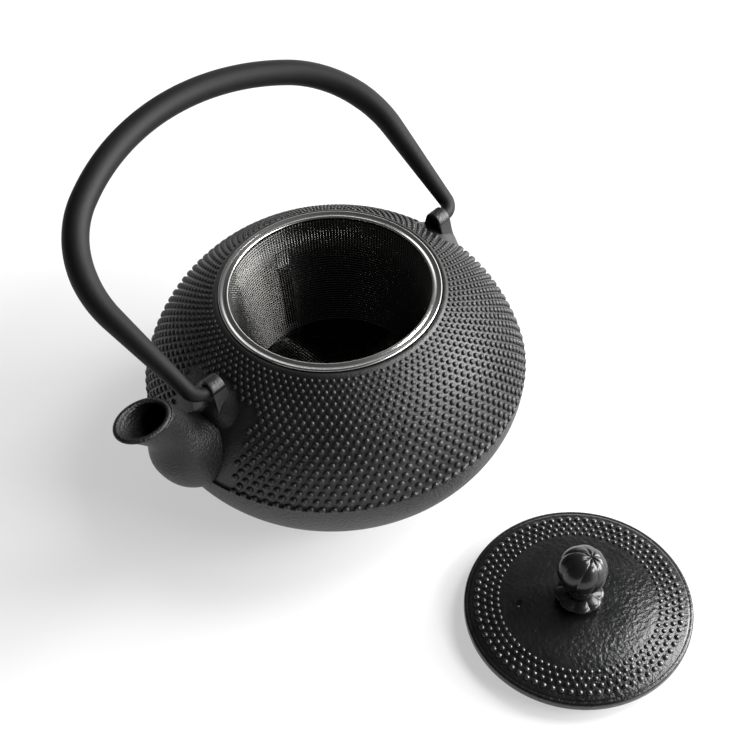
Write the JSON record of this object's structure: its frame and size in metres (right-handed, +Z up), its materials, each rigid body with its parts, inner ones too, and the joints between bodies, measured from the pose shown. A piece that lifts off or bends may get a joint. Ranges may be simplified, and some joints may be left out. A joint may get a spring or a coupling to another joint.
{
  "type": "cast iron teapot",
  "caption": "Round hobnail cast iron teapot with a folding bail handle, a short spout, a lift-out steel mesh tea basket and a domed lid with a fruit knob lying beside it.",
  "frame": {"origin": "centre of the pot's flat foot, on the surface it stands on", "axes": "+Z up along the pot's axis, -X towards the spout, the ears on the X axis, -Y towards the lid in front"},
  "size_m": [0.1792, 0.2622, 0.131],
  "materials": {
    "pot_iron": "satin black enamel over hobnail casting",
    "handle_iron": "smooth satin black",
    "lid_iron": "gloss black enamel over hobnail casting",
    "knob_iron": "gloss black enamel",
    "rim_steel": "polished",
    "mesh_steel": "fine mesh",
    "screw_steel": "zinc plated"
  },
  "bodies": {
    "pot": {"pot_body": "pot_iron"},
    "bail": {"handle": "handle_iron"},
    "basket": {"infuser_rim": "rim_steel", "infuser_wall": "mesh_steel", "infuser_seam": "mesh_steel", "infuser_hoop": "rim_steel", "infuser_floor": "mesh_steel"},
    "cover": {"lid": "lid_iron", "knob": "knob_iron", "knob_seat": "knob_iron", "knob_screw": "screw_steel", "knob_washer": "screw_steel"}
  },
  "joints": [
    {"name": "handle_swing", "type": "hinge", "parent": "pot", "child": "bail", "pos_m": [0, 0, 0.08148], "axis": [1, 0, 0], "range_deg": [0, 126]},
    {"name": "basket_lift", "type": "slide", "parent": "pot", "child": "basket", "axis": [0, 0, 1], "range_m": [0, 0.06]},
    {"name": "lid_lift", "type": "slide", "parent": "pot", "child": "cover", "axis": [0, 0, 1], "range_m": [0, 0.1]}
  ]
}
